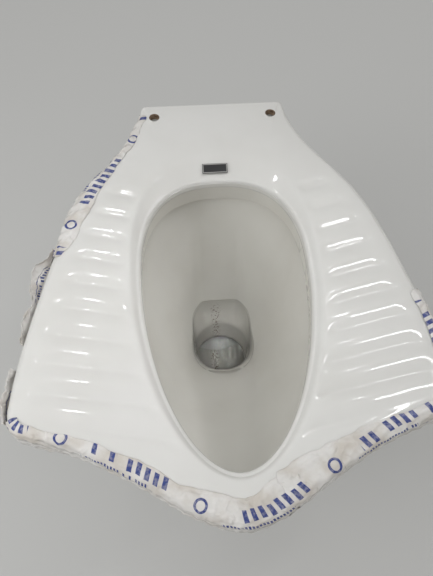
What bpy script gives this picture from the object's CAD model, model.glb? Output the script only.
import bmesh
import bpy
import numpy as np
from mathutils import Matrix, Vector


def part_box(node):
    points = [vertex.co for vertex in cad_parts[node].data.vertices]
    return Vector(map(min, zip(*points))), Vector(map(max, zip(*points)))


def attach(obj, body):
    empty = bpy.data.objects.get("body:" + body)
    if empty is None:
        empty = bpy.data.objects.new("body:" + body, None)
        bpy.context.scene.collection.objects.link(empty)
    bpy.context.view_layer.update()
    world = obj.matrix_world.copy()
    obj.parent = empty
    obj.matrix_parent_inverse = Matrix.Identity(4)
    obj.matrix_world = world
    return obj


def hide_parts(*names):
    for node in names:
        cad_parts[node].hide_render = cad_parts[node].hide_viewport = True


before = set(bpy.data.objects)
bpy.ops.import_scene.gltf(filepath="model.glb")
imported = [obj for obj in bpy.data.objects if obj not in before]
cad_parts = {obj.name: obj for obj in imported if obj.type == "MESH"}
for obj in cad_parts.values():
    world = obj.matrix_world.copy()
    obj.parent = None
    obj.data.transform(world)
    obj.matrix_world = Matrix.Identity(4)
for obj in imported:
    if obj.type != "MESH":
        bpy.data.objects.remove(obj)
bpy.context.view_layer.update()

# The toilet is one fired casting wound in packing film. Metres, +Z up, nose to -Y, deck to +Y.
# The camera stands at the nose and looks down, 0.55 m over the rim, a little left and tilted.
plate_low, plate_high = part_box("rim_plate")
TOP = plate_high.z
BACK = plate_high.y
LENGTH = plate_high.y - plate_low.y
WIDTH = plate_high.x - plate_low.x
CAMERA_PLACE = Vector((-0.0375, BACK - 0.5771, TOP + 0.5503))
CAMERA_YAW, CAMERA_DIP, CAMERA_ROLL = np.radians((-4.98, 61.90, 1.34))
FOCAL_PIXELS, PICTURE_HEIGHT, SENSOR = 560, 576, 36.0


def camera_axes(yaw, dip, roll):
    """Right, up and forward of a camera that looks along +Y, turned by yaw, dipped, then rolled."""
    heading = np.array([-np.sin(yaw), np.cos(yaw), 0.0])
    forward = heading * np.cos(dip) + np.array([0, 0, -np.sin(dip)])
    level = np.array([np.cos(yaw), np.sin(yaw), 0.0])
    upright = np.cross(level, forward)
    right = np.cos(roll) * level + np.sin(roll) * upright
    up = np.cos(roll) * upright - np.sin(roll) * level
    return right, up, forward


right, up, forward = camera_axes(CAMERA_YAW, CAMERA_DIP, CAMERA_ROLL)
camera = bpy.data.objects.new("camera", bpy.data.cameras.new("camera"))
camera.data.sensor_width = SENSOR
camera.data.lens = FOCAL_PIXELS / PICTURE_HEIGHT * SENSOR
camera.data.clip_start = 0.01
camera.matrix_world = Matrix.Translation(CAMERA_PLACE) @ Matrix(np.column_stack((right, up, -forward))).to_4x4()
bpy.context.scene.collection.objects.link(camera)
bpy.context.scene.camera = camera


# Glaze: clear glossy enamel over white vitreous china, with faint tone clouds, a slow
# orange-peel ripple and a few iron specks. It is shared by every china piece.
class Term:
    """A shader value that Python's operators turn into Math nodes."""

    def __init__(self, tree, socket):
        self.tree, self.socket = tree, socket

    def math(self, operation, *others):
        return add_node(self.tree, "ShaderNodeMath", {"operation": operation}, [self, *others])

    def __add__(self, other):
        return self.math("ADD", other)

    def __sub__(self, other):
        return self.math("SUBTRACT", other)

    def __rsub__(self, other):
        return self.math("MULTIPLY", -1.0).math("ADD", other)

    def __mul__(self, other):
        return self.math("MULTIPLY", other)

    def __truediv__(self, other):
        return self.math("DIVIDE", other)

    def between(self, low, high):
        """0 below low, 1 above high and a smooth step from one to the other."""
        settings = {"interpolation_type": "SMOOTHSTEP"}
        values = {"Value": self, "From Min": low, "From Max": high}
        return add_node(self.tree, "ShaderNodeMapRange", settings, values)

    __radd__, __rmul__ = __add__, __mul__


def add_node(tree, kind, settings, inputs, output=0):
    """Adds a node, sets it up, then fills its sockets with values or links. Returns one output."""
    node = tree.nodes.new(kind)
    for name, value in settings.items():
        setattr(node, name, value)
    for key, value in (enumerate(inputs) if isinstance(inputs, list) else inputs.items()):
        if isinstance(value, Term):
            tree.links.new(value.socket, node.inputs[key])
        else:
            node.inputs[key].default_value = value
    return Term(tree, node.outputs[output])


def mixed(tree, factor, first, second):
    """The first colour where factor is 0, the second where it is 1."""
    colours = {"Factor": factor, 6: first, 7: second}
    return add_node(tree, "ShaderNodeMix", {"data_type": "RGBA"}, colours, 2)


def new_material(name):
    """A material with only a surface, and the tree to fill."""
    material = bpy.data.materials.new(name)
    material.use_nodes = True
    return material, material.node_tree, material.node_tree.nodes["Principled BSDF"]


def connect(tree, shader, name, term):
    tree.links.new(term.socket, shader.inputs[name])


def glaze(name, colour, shade, roughness=0.07, speck_share=0.030):
    """White enamel: colour drifts to shade in clouds a hand wide, and the skin ripples slowly."""
    material, tree, shader = new_material(name)
    place = add_node(tree, "ShaderNodeTexCoord", {}, {}, "Object")
    clouds = add_node(tree, "ShaderNodeTexNoise", {}, {"Vector": place, "Scale": 9.0, "Detail": 3.0})
    base = mixed(tree, clouds.between(0.35, 0.75), (*colour, 1), (*shade, 1))
    cells = add_node(tree, "ShaderNodeTexVoronoi", {}, {"Vector": place, "Scale": 62.0}, "Distance")
    picked = add_node(tree, "ShaderNodeTexVoronoi", {}, {"Vector": place, "Scale": 62.0}, "Color")
    lucky = add_node(tree, "ShaderNodeSeparateColor", {}, {"Color": picked}, "Red")
    speck = (1 - cells.between(0.012, 0.034)) * (1 - lucky.between(speck_share, speck_share + 0.01))
    connect(tree, shader, "Base Color", mixed(tree, speck * 0.8, base, (0.10, 0.08, 0.06, 1)))
    smears = add_node(tree, "ShaderNodeTexNoise", {}, {"Vector": place, "Scale": 30.0, "Detail": 4.0})
    connect(tree, shader, "Roughness", smears.between(0.35, 0.8) * 0.06 + roughness)
    peel = add_node(tree, "ShaderNodeTexNoise", {}, {"Vector": place, "Scale": 55.0, "Detail": 1.5})
    ripple = {"Strength": 0.10, "Distance": 0.002, "Height": peel}
    connect(tree, shader, "Normal", add_node(tree, "ShaderNodeBump", {}, ripple))
    shader.inputs["IOR"].default_value = 1.52
    shader.inputs["Coat Weight"].default_value = 0.35
    shader.inputs["Coat Roughness"].default_value = 0.03
    return material


outer_glaze = glaze("outer_glaze", (0.71, 0.705, 0.685), (0.675, 0.668, 0.645))
bowl_glaze = glaze("bowl_glaze", (0.71, 0.70, 0.66), (0.66, 0.645, 0.60))


def rust_specks(material):
    """Brown grit on the sump's back wall: grains in a strip 16 mm wide, left of the middle."""
    tree = material.node_tree
    shader = tree.nodes["Principled BSDF"]
    clean = Term(tree, shader.inputs["Base Color"].links[0].from_socket)
    place = add_node(tree, "ShaderNodeTexCoord", {}, {}, "Object")
    x = add_node(tree, "ShaderNodeSeparateXYZ", {}, {"Vector": place}, "X")
    z = add_node(tree, "ShaderNodeSeparateXYZ", {}, {"Vector": place}, "Z")
    grain = add_node(tree, "ShaderNodeTexNoise", {}, {"Vector": place, "Scale": 420.0, "Detail": 2.0})
    strip = x.between(-0.016, -0.009) * (1 - x.between(-0.004, 0.004)) * (1 - z.between(0.188, 0.202))
    rust = grain.between(0.55, 0.62) * strip * 0.75
    connect(tree, shader, "Base Color", mixed(tree, rust, clean, (0.13, 0.055, 0.035, 1)))


rust_specks(bowl_glaze)


# Rim plate: the top casting, seen most. A sheet of china that slopes into the opening as a band,
# lies flat as the deck and the two treads of broad ribs, and rolls over into a skirt at its edge.
NECK = (0.115, 0.063)
SHOULDER = (0.165, 0.143)
FLANK = (0.206, 0.266)
BACK_HALF, BACK_CORNER, BACK_EDGE_R = 0.094, 0.005, 0.004
WING_FROM_NOSE, WING_CORNER = 0.099, 0.022
HOLLOW = (0.142, 0.070)
CHEEK = (0.065, 0.026)
CENTRE_IN = 0.290
AROUND = 960
OPENING = {"half": 0.097, "back": 0.127, "wide": 0.251, "tip": LENGTH - 0.049}
BLUNT, POINTED = 2.5, 1.9
BAND_BACK, BAND_SIDE, BAND_FRONT, BAND_DROP, BAND_SOFT = 0.036, 0.011, 0.008, 0.011, 0.0022
LIP_R, EDGE_R, SKIRT, CHINA = 0.0050, 0.009, 0.038, 0.010
LIP_THICKNESS, RING = 0.013, 0.026
TREAD_IN, TREAD_PITCH, TREAD_HALF, TREADS = 0.138, 0.033, 0.150, 10
TREAD_SLOPE, TREAD_SLOPE_STEP, TREAD_DEPTH = 0.29, -0.0144, 0.0034
MARGIN, MARGIN_DROP = 0.036, 0.0022


def smooth_step(low, high, value):
    """0 below low, 1 above high, and 3t^2 - 2t^3 between them."""
    share = np.clip((value - low) / (high - low), 0, 1)
    return share * share * (3 - 2 * share)


def curve_through(points, start, end, steps=400):
    """A smooth curve through points: cubic stretches whose slopes agree at every point.

    The slopes solve the usual tridiagonal system of a spline whose end headings are given."""
    points = np.asarray(points, float)
    spans = np.linalg.norm(np.diff(points, axis=0), axis=1)
    count = len(points)
    system, wanted = np.zeros((count, count)), np.zeros((count, 2))
    system[0, 0] = system[-1, -1] = 1
    wanted[0] = np.asarray(start) / np.linalg.norm(start)
    wanted[-1] = np.asarray(end) / np.linalg.norm(end)
    for k in range(1, count - 1):
        before, after = spans[k - 1], spans[k]
        system[k, k - 1:k + 2] = after, 2 * (before + after), before
        wanted[k] = 3 * (after * (points[k] - points[k - 1]) / before
                         + before * (points[k + 1] - points[k]) / after)
    slopes = np.linalg.solve(system, wanted)
    knots = np.concatenate(([0], np.cumsum(spans)))
    along = np.linspace(0, knots[-1], steps)
    k = np.clip(np.searchsorted(knots, along, side="right") - 1, 0, count - 2)
    span = spans[k][:, None]
    t = (along - knots[k])[:, None] / span
    return ((2 * t**3 - 3 * t**2 + 1) * points[k] + (t**3 - 2 * t**2 + t) * span * slopes[k]
            + (3 * t**2 - 2 * t**3) * points[k + 1] + (t**3 - t**2) * span * slopes[k + 1])


def rounded_join(before, after, reach):
    """Two curves joined end to end, with the corner replaced by a parabola that starts reach away."""
    corner = before[-1]
    keep = np.linalg.norm(before - corner, axis=1) > reach
    start = before[keep]
    rest = after[np.linalg.norm(after - corner, axis=1) > reach]
    t = np.linspace(0, 1, 40)[1:-1, None]
    turn = (1 - t) ** 2 * start[-1] + 2 * t * (1 - t) * corner + t**2 * rest[0]
    return np.concatenate((start, turn, rest))


def plan(half, inward):
    """A point of the plan, from its half width and its distance in from the back edge."""
    return np.array([half, BACK - inward])


def rim_outline():
    """The rim's closed outline: back edge, waisted flank, wing, hollow front edge and nose, mirrored."""
    corner, wing = plan(BACK_HALF, 0), plan(WIDTH / 2, LENGTH - WING_FROM_NOSE)
    back = np.linspace(plan(0, 0), corner, 60)
    side = curve_through([corner, plan(*NECK), plan(*SHOULDER), plan(*FLANK), wing], (0.2, -1), (0, -1))
    front = curve_through([wing, plan(HOLLOW[0], LENGTH - HOLLOW[1]), plan(CHEEK[0], LENGTH - CHEEK[1]),
                           plan(0, LENGTH)], (-1, -0.16), (-1, 0))
    half = rounded_join(rounded_join(back, side, BACK_CORNER), front, WING_CORNER)
    return np.concatenate((half, half[-2:0:-1] * (-1, 1)))


def outward(line):
    """Unit normals of a closed line that runs clockwise, pointing away from what it encloses."""
    step = np.roll(line, -1, 0) - np.roll(line, 1, 0)
    step /= np.linalg.norm(step, axis=1)[:, None]
    return np.column_stack((-step[:, 1], step[:, 0]))


def polar(line):
    """Angle and radius of a closed line about the centre of the plan, sorted by angle."""
    spoke = line - plan(0, CENTRE_IN)
    angle = np.arctan2(spoke[:, 1], spoke[:, 0]) % (2 * np.pi)
    order = np.argsort(angle)
    return angle[order], np.linalg.norm(spoke, axis=1)[order]


def radius_at(line, angles):
    """Radius of a closed line at given angles about the centre of the plan."""
    known, radius = polar(line)
    return np.interp(angles, known, radius, period=2 * np.pi)


def egg_line(half, back, wide, tip, grow=0.0, blunt=BLUNT, pointed=POINTED, count=1440):
    """A superellipse egg: |x/half|^n + |y/reach|^n = 1, blunt behind its widest line, pointed before it."""
    turn = np.linspace(0, 2 * np.pi, count, endpoint=False)
    across, along = np.cos(turn), np.sin(turn)
    behind = along > 0
    power = np.where(behind, blunt, pointed)
    reach = np.where(behind, wide - back, tip - wide) + grow
    fit = (np.abs(across) ** power + np.abs(along) ** power) ** (-1 / power)
    return np.column_stack(((half + grow) * across * fit, BACK - wide + reach * along * fit))


def tread_relief(x, inward):
    """Depth of the valleys: wave number q counts valleys along the wing, and |sin(pi q)| makes
    broad crowns between narrow soft valleys."""
    out = TREAD_HALF - np.abs(x)
    number = (inward - TREAD_IN - TREAD_SLOPE * out) / (TREAD_PITCH + TREAD_SLOPE_STEP * out)
    wave = np.sqrt(np.sin(np.pi * number) ** 2 + 0.03)
    inside = (number > -0.5) & (number < TREADS - 0.5)
    return np.where(inside, TREAD_DEPTH * (1 - np.minimum(wave, 1) ** 0.85), 0)


def surface(name, rows, wrap_rows=True, flip=False):
    """A mesh from a grid of points, rows by columns. Columns close on themselves, and rows may."""
    rows = np.asarray(rows)
    count, wide = rows.shape[:2]
    index = np.arange(count * wide).reshape(count, wide)
    if wrap_rows:
        index = np.concatenate((index, index[:1]))
    index = np.concatenate((index, index[:, :1]), axis=1)
    corners = (index[:-1, :-1], index[:-1, 1:], index[1:, 1:], index[1:, :-1])
    faces = np.stack([c.ravel() for c in corners], 1)
    mesh = bpy.data.meshes.new(name)
    mesh.from_pydata(rows.reshape(-1, 3).tolist(), [], (faces[:, ::-1] if flip else faces).tolist())
    mesh.shade_smooth()
    piece = bpy.data.objects.new(name, mesh)
    bpy.context.scene.collection.objects.link(piece)
    return piece


def china(piece, node, material):
    """A glazed piece that stands for its CAD node."""
    piece.data.materials.append(material)
    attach(piece, "root")
    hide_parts(node)


outline = rim_outline()
opening = egg_line(**OPENING)
known_angle, known_radius = polar(outline)
gap = np.hypot(np.diff(known_radius, append=known_radius[0]), known_radius * 0.0044)
angles = np.interp(np.arange(AROUND) / AROUND, np.cumsum(gap) / gap.sum(), known_angle)
spokes = np.column_stack((np.cos(angles), np.sin(angles)))
r_open = radius_at(opening, angles)
r_ring = radius_at(egg_line(**OPENING, grow=RING), angles)
band_line = egg_line(OPENING["half"] + BAND_SIDE, OPENING["back"] - BAND_BACK, OPENING["wide"],
                     OPENING["tip"] + BAND_FRONT)
band_width = radius_at(band_line, angles) - r_open
r_out = radius_at(outline, angles)
inner_skirt = outline - outward(outline) * CHINA
r_skirt = radius_at(inner_skirt, angles)
slant = np.clip((r_out - r_skirt) / CHINA, 1, 2.2)
outline_in = CENTRE_IN - r_out * spokes[:, 1]
edge_r = BACK_EDGE_R + (EDGE_R - BACK_EDGE_R) * smooth_step(0.0, 0.03, outline_in)


def ring_row(radius, z):
    """One ring of points about the plan's centre."""
    flat = plan(0, CENTRE_IN) + spokes * np.broadcast_to(radius, AROUND)[:, None]
    return np.column_stack((flat, np.broadcast_to(z, AROUND)))


def top_height(radius):
    """Height of the top face: the band's slope with a softened shoulder, less the treads' relief."""
    run = radius - r_open
    fall = (band_width - run) * BAND_DROP / band_width
    band = 0.5 * (fall + np.sqrt(fall**2 + BAND_SOFT**2)) - BAND_SOFT**2 / 0.12
    flat = plan(0, CENTRE_IN) + spokes * radius[:, None]
    relief = tread_relief(flat[:, 0], BACK - flat[:, 1])
    inland = (r_out - radius) / slant
    near_band = smooth_step(0.001, 0.018, run - band_width)
    near_edge = smooth_step(0.014, 0.038, inland)
    dome = MARGIN_DROP * (1 - np.clip(inland / MARGIN, 0, 1)) ** 2
    return TOP - band - dome - relief * near_band * near_edge


def rim_rows():
    """Rings of the rim's skin, from under the lip up over the top, round the edge and back below."""
    lip_low = TOP - BAND_DROP - LIP_THICKNESS
    rows = [ring_row(r_ring, TOP - CHINA - 0.0005), ring_row(r_ring, lip_low), ring_row(r_open + 0.002, lip_low)]
    start = top_height(r_open + LIP_R)
    rows += [ring_row(r_open, z) for z in np.linspace(lip_low + 0.002, start.mean() - LIP_R, 4)]
    for turn in np.linspace(0, np.pi / 2, 9)[1:-1]:
        rows.append(ring_row(r_open + LIP_R * (1 - np.cos(turn)), start - LIP_R * (1 - np.sin(turn))))
    roll = r_out - edge_r * slant
    for share in np.concatenate((np.linspace(0, 0.34, 20)[:-1], np.linspace(0.34, 1, 34))):
        radius = r_open + LIP_R + share * (roll - r_open - LIP_R)
        rows.append(ring_row(radius, top_height(radius)))
    edge_z = top_height(roll)
    for turn in np.linspace(0, np.pi / 2, 11)[1:]:
        level = edge_z - (edge_r - TOP + edge_z) * (1 - np.cos(turn))
        rows.append(ring_row(roll + edge_r * slant * np.sin(turn), level))
    skirt_low = TOP - SKIRT
    rows += [ring_row(r_out, z) for z in np.linspace(TOP - edge_r, skirt_low + 0.003, 5)[1:]]
    middle = (r_out + r_skirt) / 2
    for turn in np.linspace(0, np.pi, 9)[1:-1]:
        across = middle + (r_out - middle) * np.cos(turn)
        rows.append(ring_row(across, skirt_low + 0.003 * (1 - np.sin(turn))))
    rows += [ring_row(r_skirt, skirt_low + 0.003), ring_row(r_skirt, TOP - CHINA - 0.004)]
    rows += [ring_row(r_skirt + share * (r_ring - r_skirt), TOP - CHINA) for share in (0.06, 0.35, 0.7, 0.94)]
    return rows


rim = surface("rim_plate_glazed", rim_rows())
china(rim, "rim_plate", outer_glaze)

# Seat holes: two bolt holes pressed through the back deck before firing, so the clay inside them
# is bare and buff, and the glaze stops at a thin brown line round each.
SEAT_SPACING, SEAT_IN, SEAT_HOLE_R = 0.155, 0.023, 0.0068


def bare_clay():
    """Unglazed fired clay: buff with brown grime, rough and grainy."""
    material, tree, shader = new_material("bare_clay")
    place = add_node(tree, "ShaderNodeTexCoord", {}, {}, "Object")
    grime = add_node(tree, "ShaderNodeTexNoise", {}, {"Vector": place, "Scale": 160.0, "Detail": 4.0})
    base = mixed(tree, grime.between(0.35, 0.7), (0.42, 0.31, 0.22, 1), (0.13, 0.085, 0.055, 1))
    connect(tree, shader, "Base Color", base)
    ripple = {"Strength": 0.4, "Distance": 0.0005, "Height": grime}
    connect(tree, shader, "Normal", add_node(tree, "ShaderNodeBump", {}, ripple))
    shader.inputs["Roughness"].default_value = 0.85
    return material


clay = bare_clay()


def drill(piece, spots, radius, low, high):
    """Cuts round holes through a piece, lined with bare clay."""
    piece.data.materials.append(clay)
    turn = np.linspace(0, 2 * np.pi, 48, endpoint=False)
    for number, (x, y) in enumerate(spots):
        ring = np.column_stack((x + radius * np.cos(turn), y + radius * np.sin(turn)))
        points = [(*p, z) for z in (low, high) for p in ring.tolist()]
        sides = [(k, (k + 1) % 48, 48 + (k + 1) % 48, 48 + k) for k in range(48)]
        mesh = bpy.data.meshes.new("drill")
        mesh.from_pydata(points, [], [*sides, tuple(range(47, -1, -1)), tuple(range(48, 96))])
        mesh.materials.append(clay)
        tool = bpy.data.objects.new("drill", mesh)
        bpy.context.scene.collection.objects.link(tool)
        hole = piece.modifiers.new("hole", "BOOLEAN")
        hole.operation, hole.solver, hole.object = "DIFFERENCE", "EXACT", tool
        hole.material_mode = "TRANSFER"
        cut = bpy.data.meshes.new_from_object(piece.evaluated_get(bpy.context.evaluated_depsgraph_get()))
        piece.modifiers.clear()
        piece.data = cut
        bpy.data.objects.remove(tool)


seats = [tuple(plan(side * SEAT_SPACING / 2, SEAT_IN)) for side in (-1, 1)]
drill(rim, seats, SEAT_HOLE_R, TOP - 2 * CHINA, TOP + CHINA)

# Bowl and sump: the egg-shaped basin luted under the rim, and the well under its mouth. The
# ramp behind the mouth ends in a sharp arched lip, and the front runs in over a soft one.
BOWL_AROUND, BOWL_ROWS, WELL_ROWS = 360, 72, 44
UNDERCUT, BOWL_CURVE, CHUTE_DEPTH = 0.014, 1.35, 0.0095
MOUTH = {"half": 0.041, "back": 0.215, "wide": 0.2595, "tip": 0.304}
MOUTH_POWER, MOUTH_SQUARE, WELL_R, WELL_NECK = 2.6, 2.4, 0.040, 0.050
bowl_low, bowl_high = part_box("bowl")
well_low, well_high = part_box("trap_sump")


def bowl_ring(level, grow):
    """One plan of the bowl. What is kept of the opening's egg is 1 - level^1.35, and the rest is mouth."""
    kept = 1 - level**BOWL_CURVE
    opened = {"half": OPENING["half"] + UNDERCUT, "back": OPENING["back"] - UNDERCUT,
              "wide": OPENING["wide"], "tip": OPENING["tip"] + UNDERCUT}
    sizes = {key: MOUTH[key] + (opened[key] - MOUTH[key]) * kept for key in MOUTH}
    back_power = BLUNT + MOUTH_SQUARE * level**1.6
    front_power = MOUTH_POWER + (POINTED - MOUTH_POWER) * kept
    ring = egg_line(**sizes, grow=grow, blunt=back_power, pointed=front_power, count=BOWL_AROUND)
    middle = 1 - smooth_step(0.55 * MOUTH["half"], 1.0 * MOUTH["half"], np.abs(ring[:, 0]))
    behind = ring[:, 1] > BACK - MOUTH["wide"]
    ring[:, 1] += CHUTE_DEPTH * smooth_step(0.15, 0.85, level) * middle * behind
    height = bowl_high.z + (bowl_low.z - bowl_high.z) * level
    return np.column_stack((ring, np.full(BOWL_AROUND, height)))


def well_ring(height, grow):
    """One plan of the well, which eases from the mouth's rounded square to a circle."""
    eased = smooth_step(0, WELL_NECK, bowl_low.z - height)
    turn = np.linspace(0, 2 * np.pi, BOWL_AROUND, endpoint=False)
    middle = plan(0, MOUTH["wide"])
    circle = middle + (WELL_R + grow) * np.column_stack((np.cos(turn), np.sin(turn)))
    ring = bowl_ring(1.0, grow)[:, :2] * (1 - eased) + circle * eased
    return np.column_stack((ring, np.full(BOWL_AROUND, height)))


def softened(stack, row, reach, times):
    """Rounds the turn at one row: rows are averaged along each meridian, most at the front."""
    smooth = stack.copy()
    for _ in range(times):
        smooth[1:-1] = (smooth[:-2] + 2 * smooth[1:-1] + smooth[2:]) / 4
    turn = np.linspace(0, 2 * np.pi, BOWL_AROUND, endpoint=False)
    front = 1 - 0.93 * smooth_step(-0.75, 0.25, np.sin(turn))
    near = np.exp(-(((np.arange(len(stack)) - row) / reach) ** 2))
    weight = near[:, None, None] * front[None, :, None]
    return stack * (1 - weight) + smooth * weight


bowl_levels = np.linspace(0, 1, BOWL_ROWS)
well_heights = np.linspace(well_high.z, well_low.z, WELL_ROWS)
lining = [bowl_ring(level, 0) for level in bowl_levels] + [well_ring(z, 0) for z in well_heights[1:]]
lining = softened(np.array(lining), BOWL_ROWS - 1, 16, 160)
bowl_skin = [*lining[:BOWL_ROWS], *[bowl_ring(level, CHINA) for level in bowl_levels[::-3]]]
bowl = surface("bowl_glazed", bowl_skin, flip=True)
china(bowl, "bowl", bowl_glaze)
well_skin = [*lining[BOWL_ROWS - 1:], *[well_ring(z, CHINA) for z in well_heights[::-3]]]
well = surface("sump_glazed", well_skin, flip=True)
china(well, "trap_sump", bowl_glaze)


# Castings below the rim: pedestal, foot, webs, trap, outlet, inlet and flush ring are slip-cast
# apart, luted on while wet and glazed with the rest, so every edge of theirs is a little round.
def fired(node, material, edge=0.0012):
    """A merged copy of a casting's own mesh, with rounded edges and smooth shading."""
    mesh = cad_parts[node].data.copy()
    work = bmesh.new()
    work.from_mesh(mesh)
    bmesh.ops.remove_doubles(work, verts=work.verts, dist=1e-6)
    bmesh.ops.dissolve_limit(work, angle_limit=np.radians(0.4), verts=work.verts, edges=work.edges)
    work.to_mesh(mesh)
    work.free()
    mesh.materials.clear()
    mesh.shade_smooth()
    piece = bpy.data.objects.new(node + "_glazed", mesh)
    bpy.context.scene.collection.objects.link(piece)
    rounding = piece.modifiers.new("rounding", "BEVEL")
    rounding.width, rounding.segments, rounding.limit_method = edge, 3, "ANGLE"
    rounding.angle_limit = np.radians(40)
    rounding.harden_normals = True
    china(piece, node, material)
    return piece


for name in ("pedestal", "foot_ring", "outlet_spigot", "inlet_horn", "flush_spreader", "trap_riser",
             "wing_web_back_left", "wing_web_back_right", "wing_web_front_left", "wing_web_front_right"):
    fired(name, outer_glaze)
fired("trap_bend", bowl_glaze, edge=0.0008)
channel = fired("rim_channel", bowl_glaze, edge=0.0008)
WIDEST_Y = BACK - OPENING["wide"]
CHANNEL_STRETCH, CHANNEL_EASE = 1.07, 1.012
for corner in channel.data.vertices:
    corner.co.x *= CHANNEL_EASE
    stretch = CHANNEL_STRETCH if corner.co.y > WIDEST_Y else CHANNEL_EASE
    corner.co.y = WIDEST_Y + (corner.co.y - WIDEST_Y) * stretch


# Label: a strip of black foil pressed onto the band, with a thin silver border and nothing on it.
def label_foil():
    """Black foil whose border is where the distance to the strip's edge lies between two values."""
    material, tree, shader = new_material("label_foil")
    low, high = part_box("maker_label")
    middle = (low + high) / 2
    place = add_node(tree, "ShaderNodeTexCoord", {}, {}, "Object")
    centred = add_node(tree, "ShaderNodeMapping", {}, {"Vector": place, "Location": -middle})
    split = {"Vector": centred}
    across = add_node(tree, "ShaderNodeSeparateXYZ", {}, split, "X").math("ABSOLUTE")
    along = add_node(tree, "ShaderNodeSeparateXYZ", {}, split, "Y").math("ABSOLUTE")
    half_x, half_y = (high.x - low.x) / 2, (high.y - low.y) / 2
    inset = ((half_x - across)).math("MINIMUM", half_y - along)
    border = inset.between(0.0006, 0.0008) * (1 - inset.between(0.0013, 0.0015))
    connect(tree, shader, "Base Color", mixed(tree, border, (0.018, 0.018, 0.020, 1), (0.50, 0.49, 0.47, 1)))
    grain = add_node(tree, "ShaderNodeTexNoise", {}, {"Vector": place, "Scale": 700.0, "Detail": 3.0})
    connect(tree, shader, "Roughness", grain * 0.2 + 0.25)
    ripple = {"Strength": 0.25, "Distance": 0.0002, "Height": grain}
    connect(tree, shader, "Normal", add_node(tree, "ShaderNodeBump", {}, ripple))
    return material


label = fired("maker_label", label_foil(), edge=0.0001)

# Film: thin printed plastic, wound round the rolled edge by the packer. It is creased, lifts at
# its inner edge, and its loose tails stand out from the left flank. Each strip is one sheet.
FILM_CLEAR, FILM_THICKNESS = 0.0009, 0.0003
FILM_UNDER = 0.008
FILM_BEND = EDGE_R + FILM_CLEAR
FILM_ROUND = np.pi / 2 * FILM_BEND
FILM_DROP = SKIRT - EDGE_R - 0.002


def even_outline(step=0.0015):
    """The rim's outline at even steps, its outward headings, and how far round each point is."""
    closed = np.concatenate((outline, outline[:1]))
    along = np.concatenate(([0], np.cumsum(np.linalg.norm(np.diff(closed, axis=0), axis=1))))
    wanted = np.arange(0, along[-1], step)
    line = np.column_stack([np.interp(wanted, along, closed[:, axis]) for axis in (0, 1)])
    heading = outward(line)
    for _ in range(6):
        heading = (np.roll(heading, 1, 0) + heading + np.roll(heading, -1, 0)) / 3
    return wanted, line, heading / np.linalg.norm(heading, axis=1)[:, None]


WALK, WALK_LINE, WALK_OUT = even_outline()
HALF_WAY = int(np.argmin(WALK_LINE[:, 1]))
ROUND = WALK[-1] + WALK[1]


def walk_to(side, inward):
    """How far round the outline a place is, from its side and its distance in from the back edge."""
    behind = BACK - WALK_LINE[:HALF_WAY, 1]
    place = np.interp(inward, np.maximum.accumulate(behind), WALK[:HALF_WAY])
    return place if side > 0 else ROUND - place


def creases(u, v, seed, size):
    """Ridged creases: sums of 1 - |sin| waves, bent by slow waves, mostly along the strip."""
    draw = np.random.default_rng(seed)
    height = np.zeros_like(u)
    for octave in range(7):
        wave = size * 0.68**octave
        tilt = draw.uniform(-0.5, 0.5) + (1.3 if octave % 3 == 1 else 0)
        bend = 0.9 * np.sin(u / (wave * 1.7) + draw.uniform(0, 6)) + 0.7 * np.sin(v / wave + draw.uniform(0, 6))
        phase = (v * np.cos(tilt) + u * np.sin(tilt)) * np.pi / wave + bend + draw.uniform(0, 6)
        height += 0.68**octave * (1 - np.abs(np.sin(phase))) ** 1.5
    return height / 2.2


def film_cloth(name, points, u, v, nodes=()):
    """A film sheet from a grid of points, with its length and width in metres as its UV map."""
    rows, wide = u.shape
    index = np.arange(rows * wide).reshape(rows, wide)
    faces = np.stack([c.ravel() for c in (index[:-1, :-1], index[1:, :-1], index[1:, 1:], index[:-1, 1:])], 1)
    mesh = bpy.data.meshes.new(name)
    mesh.from_pydata(points.reshape(-1, 3).tolist(), [], faces.tolist())
    mesh.shade_smooth()
    layer = mesh.uv_layers.new(name="film")
    places = np.column_stack((u.ravel(), v.ravel()))[faces.ravel()]
    layer.data.foreach_set("uv", places.astype(np.float32).ravel())
    sheet = bpy.data.objects.new(name, mesh)
    bpy.context.scene.collection.objects.link(sheet)
    film_skin = sheet.modifiers.new("film", "SOLIDIFY")
    film_skin.thickness, film_skin.offset = FILM_THICKNESS, 1
    sheet.data.materials.append(film_plastic)
    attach(sheet, "root")
    if nodes:
        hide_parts(*nodes)
    return sheet


def hem(side, places):
    """How far the film laps in past the rolled edge, from places on its inner hem: (half, inward)."""
    found = []
    for half, inward in places:
        gaps = np.linalg.norm(WALK_LINE - plan(half, inward), axis=1)
        nearest = int(np.argmin(gaps))
        found.append((WALK[nearest], max(gaps[nearest] - EDGE_R, 0.001)))
    known, laps = np.array(sorted(found)).T
    return lambda s: np.interp(s, known, laps)


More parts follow.
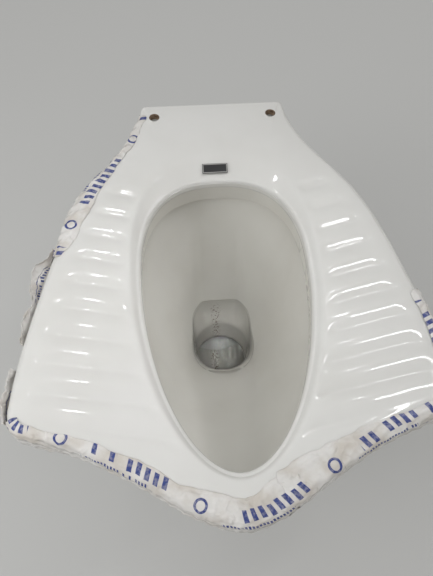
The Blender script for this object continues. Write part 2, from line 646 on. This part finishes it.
def film_strip(name, start, end, lap, lift, seed, nodes, stand=0.0, crease=0.0030, rows=52, bulge=None):
    """A strip over the edge. v runs from the inner hem over the top face, round the edge and down.

    lap(s) is how far the hem laps in past the rolled edge, and lift(s) how high it stands there.
    bulge(s) is how far the strip stands off the skirt."""
    columns = int(abs(end - start) / 0.0016)
    s = np.linspace(start, end, columns)
    share = np.linspace(0, 1, rows)[:, None]
    reach = lap(s)[None, :]
    v = -reach + share * (reach + FILM_ROUND + FILM_DROP + FILM_UNDER)
    u = np.broadcast_to(s, v.shape)
    ragged = 0.004 * np.sin(share * 9 + seed) + 0.002 * np.sin(share * 23)
    fade = np.exp(-np.minimum(u - start, end - u) / 0.012)
    u = u + ragged * fade * np.where(u - start < end - u, -1, 1)
    turn = np.clip(v / FILM_BEND, 0, np.pi / 2)
    down = np.clip(v - FILM_ROUND, 0, FILM_DROP)
    under = np.clip(v - FILM_ROUND - FILM_DROP, 0, None)
    out = np.minimum(v, 0) - EDGE_R + FILM_BEND * np.sin(turn) - under
    drop = MARGIN_DROP * (1 - np.clip((EDGE_R - np.minimum(v, 0)) / MARGIN, 0, 1)) ** 2
    clear = FILM_CLEAR * (0.15 + 0.85 * smooth_step(0, 0.010, v + reach))
    z = TOP - drop - (EDGE_R - drop) * (1 - np.cos(turn)) + clear * np.cos(turn)
    z = z - down - 0.0012 * smooth_step(0, 0.004, under)
    tilt = turn + np.pi / 2 * smooth_step(0, 0.006, under)
    rise = stand + crease * creases(u, v, seed, 0.022) * smooth_step(-0.001, 0.009, v + reach)
    rise = rise + 0.35 * lift(s)[None, :] * np.exp(-(v + reach) / 0.004)
    out, z = out + rise * np.sin(tilt), z + rise * np.cos(tilt)
    if bulge:
        out = out + bulge(s)[None, :] * smooth_step(0.002, 0.022, v) * (1 - smooth_step(0.03, 0.05, v))
    turned = u % ROUND
    base = [np.interp(turned, WALK, WALK_LINE[:, axis]) for axis in (0, 1)]
    head = [np.interp(turned, WALK, WALK_OUT[:, axis]) for axis in (0, 1)]
    points = np.stack((base[0] + head[0] * out, base[1] + head[1] * out, z), 2)
    return film_cloth(name, points, u, v, nodes)


def uneven(s, seed, low, high, wave):
    """A slow uneven value between low and high along the strip."""
    draw = np.random.default_rng(seed)
    total = sum(np.sin(s / wave * k + draw.uniform(0, 6)) / k for k in (1, 2.3, 4.1))
    return low + (high - low) * (0.5 + 0.5 * np.tanh(total))


def printed_film():
    """Milky film: cream over the china, browner in its creases, with rows of plain blue bars.

    u runs along the strip and v across it. A bar stands in every cell of u whose share is met."""
    material, tree, shader = new_material("film_plastic")
    sheet_place = add_node(tree, "ShaderNodeUVMap", {"uv_map": "film"}, {})
    u = add_node(tree, "ShaderNodeSeparateXYZ", {}, {"Vector": sheet_place}, "X")
    v = add_node(tree, "ShaderNodeSeparateXYZ", {}, {"Vector": sheet_place}, "Y")

    def bars(pitch, middle, half_height, share, group, group_share, shift):
        leaning = u + (v - middle) * 0.28
        cell = (leaning / pitch).math("FLOOR")
        chance = ((cell * 12.9898).math("SINE") * 43758.5).math("FRACT")
        inside = (leaning / pitch).math("FRACT")
        upright = (1 - inside.between(share, share + 0.08)) * chance.between(0.10, 0.12)
        tall = 1 - (v - middle + (chance - 0.5) * half_height * 0.5).math("ABSOLUTE").between(
            half_height, half_height + 0.0004)
        grouped = 1 - ((u + shift) / group).math("FRACT").between(group_share, group_share + 0.01)
        return upright * tall * grouped

    big = bars(0.0095, 0.0005, 0.0052, 0.50, 0.150, 0.56, 0.02)
    small = bars(0.0034, 0.0115, 0.0016, 0.6, 0.150, 0.48, 0.0)
    line = (1 - (v - 0.0165).math("ABSOLUTE").between(0.0003, 0.0005)) * (
        1 - ((u + 0.02) / 0.150).math("FRACT").between(0.42, 0.43))
    across = ((u + 0.02) / 0.150).math("FRACT") * 0.150 - 0.117
    ring_r = ((across * across) + (v - 0.002) * (v - 0.002)).math("SQRT")
    ring = ring_r.between(0.0042, 0.0046) * (1 - ring_r.between(0.0068, 0.0072))
    ink = big.math("MAXIMUM", small).math("MAXIMUM", line * 0.8).math("MAXIMUM", ring)
    place = add_node(tree, "ShaderNodeTexCoord", {}, {}, "Object")
    clouds = add_node(tree, "ShaderNodeTexNoise", {}, {"Vector": place, "Scale": 38.0, "Detail": 5.0})
    milky = mixed(tree, clouds.between(0.36, 0.72), (0.72, 0.705, 0.685, 1), (0.58, 0.54, 0.49, 1))
    ridged = {"noise_type": "RIDGED_MULTIFRACTAL"}
    along = add_node(tree, "ShaderNodeMapping", {}, {"Vector": sheet_place, "Scale": (0.4, 1.0, 1.0)})
    folds = add_node(tree, "ShaderNodeTexNoise", ridged, {"Vector": along, "Scale": 48.0, "Detail": 4.0,
                                                          "Distortion": 1.4})
    plain = mixed(tree, folds.between(0.50, 1.05), milky, (0.27, 0.235, 0.20, 1))
    worn = add_node(tree, "ShaderNodeTexNoise", {}, {"Vector": place, "Scale": 260.0, "Detail": 2.0})
    printed = ink * (0.72 + 0.28 * worn.between(0.3, 0.6))
    connect(tree, shader, "Base Color", mixed(tree, printed, plain, (0.035, 0.055, 0.22, 1)))
    fine = add_node(tree, "ShaderNodeTexNoise", ridged, {"Vector": place, "Scale": 75.0, "Detail": 5.0,
                                                         "Distortion": 1.2})
    ripple = {"Strength": 1.0, "Distance": 0.0020, "Height": fine - folds * 1.2}
    connect(tree, shader, "Normal", add_node(tree, "ShaderNodeBump", {}, ripple))
    connect(tree, shader, "Roughness", worn * 0.15 + 0.15)
    return material


film_plastic = printed_film()
LEFT_TOP_IN, LEFT_END_IN = 0.016, 0.233
left_start, left_end = walk_to(-1, LEFT_END_IN), walk_to(-1, LEFT_TOP_IN)
left_hem = hem(-1, ((-0.098, 0.018), (-0.1095, 0.038), (-0.127, 0.105), (-0.154, 0.162), (-0.1705, 0.207),
                    (-0.187, 0.233)))
left_middle = (left_start + left_end) / 2 - 0.03
film_strip("film_left", left_start, left_end, lambda s: left_hem(s) + uneven(s, 5, -0.001, 0.0015, 0.009),
           lambda s: uneven(s, 3, 0.0002, 0.0026, 0.014), 11, ["wrap_left"],
           bulge=lambda s: 0.009 * np.exp(-(((s - left_middle) / 0.05) ** 2)))
front_start, front_end = walk_to(1, 0.505), walk_to(-1, 0.418)
front_hem = hem(0, ((-0.226, 0.429), (-0.214, 0.428), (-0.189, 0.434), (-0.166, 0.444), (-0.123, 0.456),
                    (-0.099, 0.466), (-0.072, 0.484), (-0.061, 0.490), (-0.035, 0.497), (-0.024, 0.502),
                    (-0.002, 0.507), (0.025, 0.494), (0.047, 0.484), (0.075, 0.474), (0.09, 0.468)))
film_strip("film_front", front_start, front_end, lambda s: front_hem(s) + uneven(s, 8, -0.001, 0.002, 0.012),
           lambda s: uneven(s, 9, 0.0002, 0.0024, 0.016), 23, ["wrap_front"])
right_start, right_end = walk_to(1, 0.300), walk_to(1, 0.516)
right_hem = hem(1, ((0.214, 0.30), (0.214, 0.36), (0.212, 0.415), (0.198, 0.427), (0.170, 0.435),
                    (0.138, 0.445), (0.100, 0.456), (0.083, 0.463), (0.075, 0.467), (0.047, 0.478),
                    (0.025, 0.488)))
film_strip("film_right", right_start, right_end, lambda s: right_hem(s) + uneven(s, 14, -0.001, 0.002, 0.012),
           lambda s: uneven(s, 15, 0.0002, 0.0026, 0.013), 37, ["wrap_right"], stand=0.0006)


def film_tail(name, side, start_in, end_in, bulge, seed, rows=22):
    """A loose tail that leaves the edge: a trough of film from under the roll out to a raised rim.

    bulge(share) is how far it stands out, and the rim curls back over at its furthest places."""
    start, end = walk_to(side, end_in), walk_to(side, start_in)
    columns = int(abs(end - start) / 0.0014)
    s = np.linspace(start, end, columns)
    share = np.linspace(0, 1, rows)[:, None]
    inward = np.interp(s, (min(start, end), max(start, end)), (end_in, start_in))
    stands = bulge(inward)[None, :]
    out = -0.004 + (stands + 0.006) * share**0.8 - 0.25 * stands * smooth_step(0.8, 1.0, share)
    z = TOP - 0.019 + 0.0165 * share**1.6 + 0.0025 * np.sin(s * 210)[None, :] * share
    u, v = np.broadcast_to(s, out.shape), share * 0.03 + np.zeros_like(out)
    rough = 0.0028 * (creases(u, v, seed, 0.012) - 0.4) * smooth_step(0, 0.3, share)
    turned = u % ROUND
    base = [np.interp(turned, WALK, WALK_LINE[:, axis]) for axis in (0, 1)]
    head = [np.interp(turned, WALK, WALK_OUT[:, axis]) for axis in (0, 1)]
    points = np.stack((base[0] + head[0] * (out + rough), base[1] + head[1] * (out + rough), z + rough), 2)
    return film_cloth(name, points, u, v)


film_tail("film_left_tail", -1, 0.222, 0.338, lambda d: np.interp(
    d, (0.222, 0.235, 0.247, 0.257, 0.270, 0.284, 0.294, 0.303, 0.312, 0.324, 0.338),
    (0.001, 0.008, 0.016, 0.019, 0.015, 0.007, 0.003, 0.006, 0.008, 0.005, 0.001)), 41)
film_tail("film_wing_tail", -1, 0.366, 0.422, lambda d: np.interp(
    d, (0.366, 0.378, 0.390, 0.402, 0.412, 0.422), (0.001, 0.006, 0.003, 0.006, 0.003, 0.001)), 43)

# Floor and light: a plain pale floor under a soft even sky. A big lamp that the glaze doesn't mirror
# fills from the left, and a window frame and three short tubes give the glaze its highlights.
floor = bpy.data.objects.new("floor", bpy.data.meshes.new("floor"))
floor.data.from_pydata([(-6, -6, 0), (6, -6, 0), (6, 6, 0), (-6, 6, 0)], [], [(0, 1, 2, 3)])
bpy.context.scene.collection.objects.link(floor)
floor_paint, floor_tree, floor_shader = new_material("floor_paint")
floor_shader.inputs["Base Color"].default_value = (0.60, 0.60, 0.59, 1)
floor_shader.inputs["Roughness"].default_value = 0.9
floor.data.materials.append(floor_paint)


def pane(name, place, target, width, height, glow, mirrored=True):
    """A rectangular lamp that faces a target. glow is its brightness, and the sky's is about 0.6."""
    lamp = bpy.data.objects.new(name, bpy.data.lights.new(name, "AREA"))
    lamp.data.shape = "RECTANGLE"
    lamp.data.size, lamp.data.size_y = width, height
    lamp.data.energy = glow * np.pi * width * height
    lamp.location = place
    lamp.rotation_mode = "QUATERNION"
    lamp.rotation_quaternion = (Vector(target) - Vector(place)).to_track_quat("-Z", "Y")
    lamp.visible_glossy = mirrored
    bpy.context.scene.collection.objects.link(lamp)
    return lamp


def sky():
    """A soft white room: brighter overhead and to the left, dimmer low down and to the right."""
    world = bpy.data.worlds.new("world")
    bpy.context.scene.world = world
    world.use_nodes = True
    tree = world.node_tree
    background = tree.nodes["Background"]
    view = add_node(tree, "ShaderNodeTexCoord", {}, {}, "Generated")
    rise = add_node(tree, "ShaderNodeSeparateXYZ", {}, {"Vector": view}, "Z")
    across = add_node(tree, "ShaderNodeSeparateXYZ", {}, {"Vector": view}, "X")
    lit = (rise - across * 0.45).between(-0.35, 0.95)
    tree.links.new(mixed(tree, lit, (0.32, 0.30, 0.285, 1), (0.68, 0.685, 0.68, 1)).socket, background.inputs["Color"])


sky()
rim_middle = (0, 0, TOP)
pane("fill", (-0.80, -0.35, 1.0), (-0.12, -0.05, TOP), 0.5, 0.5, 3.6, mirrored=False)
beam = pane("beam", (-0.04, -0.35, 1.03), (0, BACK - 0.250, 0.16), 0.05, 0.05, 0.95, mirrored=False)
beam.data.spread = np.radians(6)
bowl_beam = pane("bowl_beam", (0, -0.25, 1.9), (0, BACK - 0.20, 0.27), 0.25, 0.25, 0.045, mirrored=False)
bowl_beam.data.spread = np.radians(12)
side_beam = pane("side_beam", (0.9, 0.05, 1.35), (-0.10, -0.05, TOP), 0.3, 0.3, 0.42, mirrored=False)
side_beam.data.spread = np.radians(22)
WINDOW, WINDOW_WIDE, WINDOW_TALL, WINDOW_BAR = Vector((0.80, 0.27, 1.9)), 0.070, 0.30, 0.020
heading = (Vector(rim_middle) - WINDOW).to_track_quat("-Z", "Y")
for name, offset, size in (
        ("left", (-WINDOW_WIDE / 2, 0), (WINDOW_BAR, WINDOW_TALL)), ("right", (WINDOW_WIDE / 2, 0), (WINDOW_BAR, WINDOW_TALL)),
        ("low", (0, -WINDOW_TALL / 2), (WINDOW_WIDE, WINDOW_BAR)), ("high", (0, WINDOW_TALL / 2), (WINDOW_WIDE, WINDOW_BAR)),
        ("glass", (0, 0), (WINDOW_WIDE, WINDOW_TALL))):
    lamp = pane("window_" + name, WINDOW + heading @ Vector((*offset, 0)), rim_middle, *size,
                9.0 if name == "glass" else 24)
    lamp.rotation_quaternion = heading
pane("tube_left", (-0.50, 0.42, 1.9), rim_middle, 0.08, 0.04, 45)
pane("tube_right", (0.54, 0.62, 1.9), rim_middle, 0.05, 0.08, 16)
bpy.context.scene.view_settings.view_transform = "Standard"
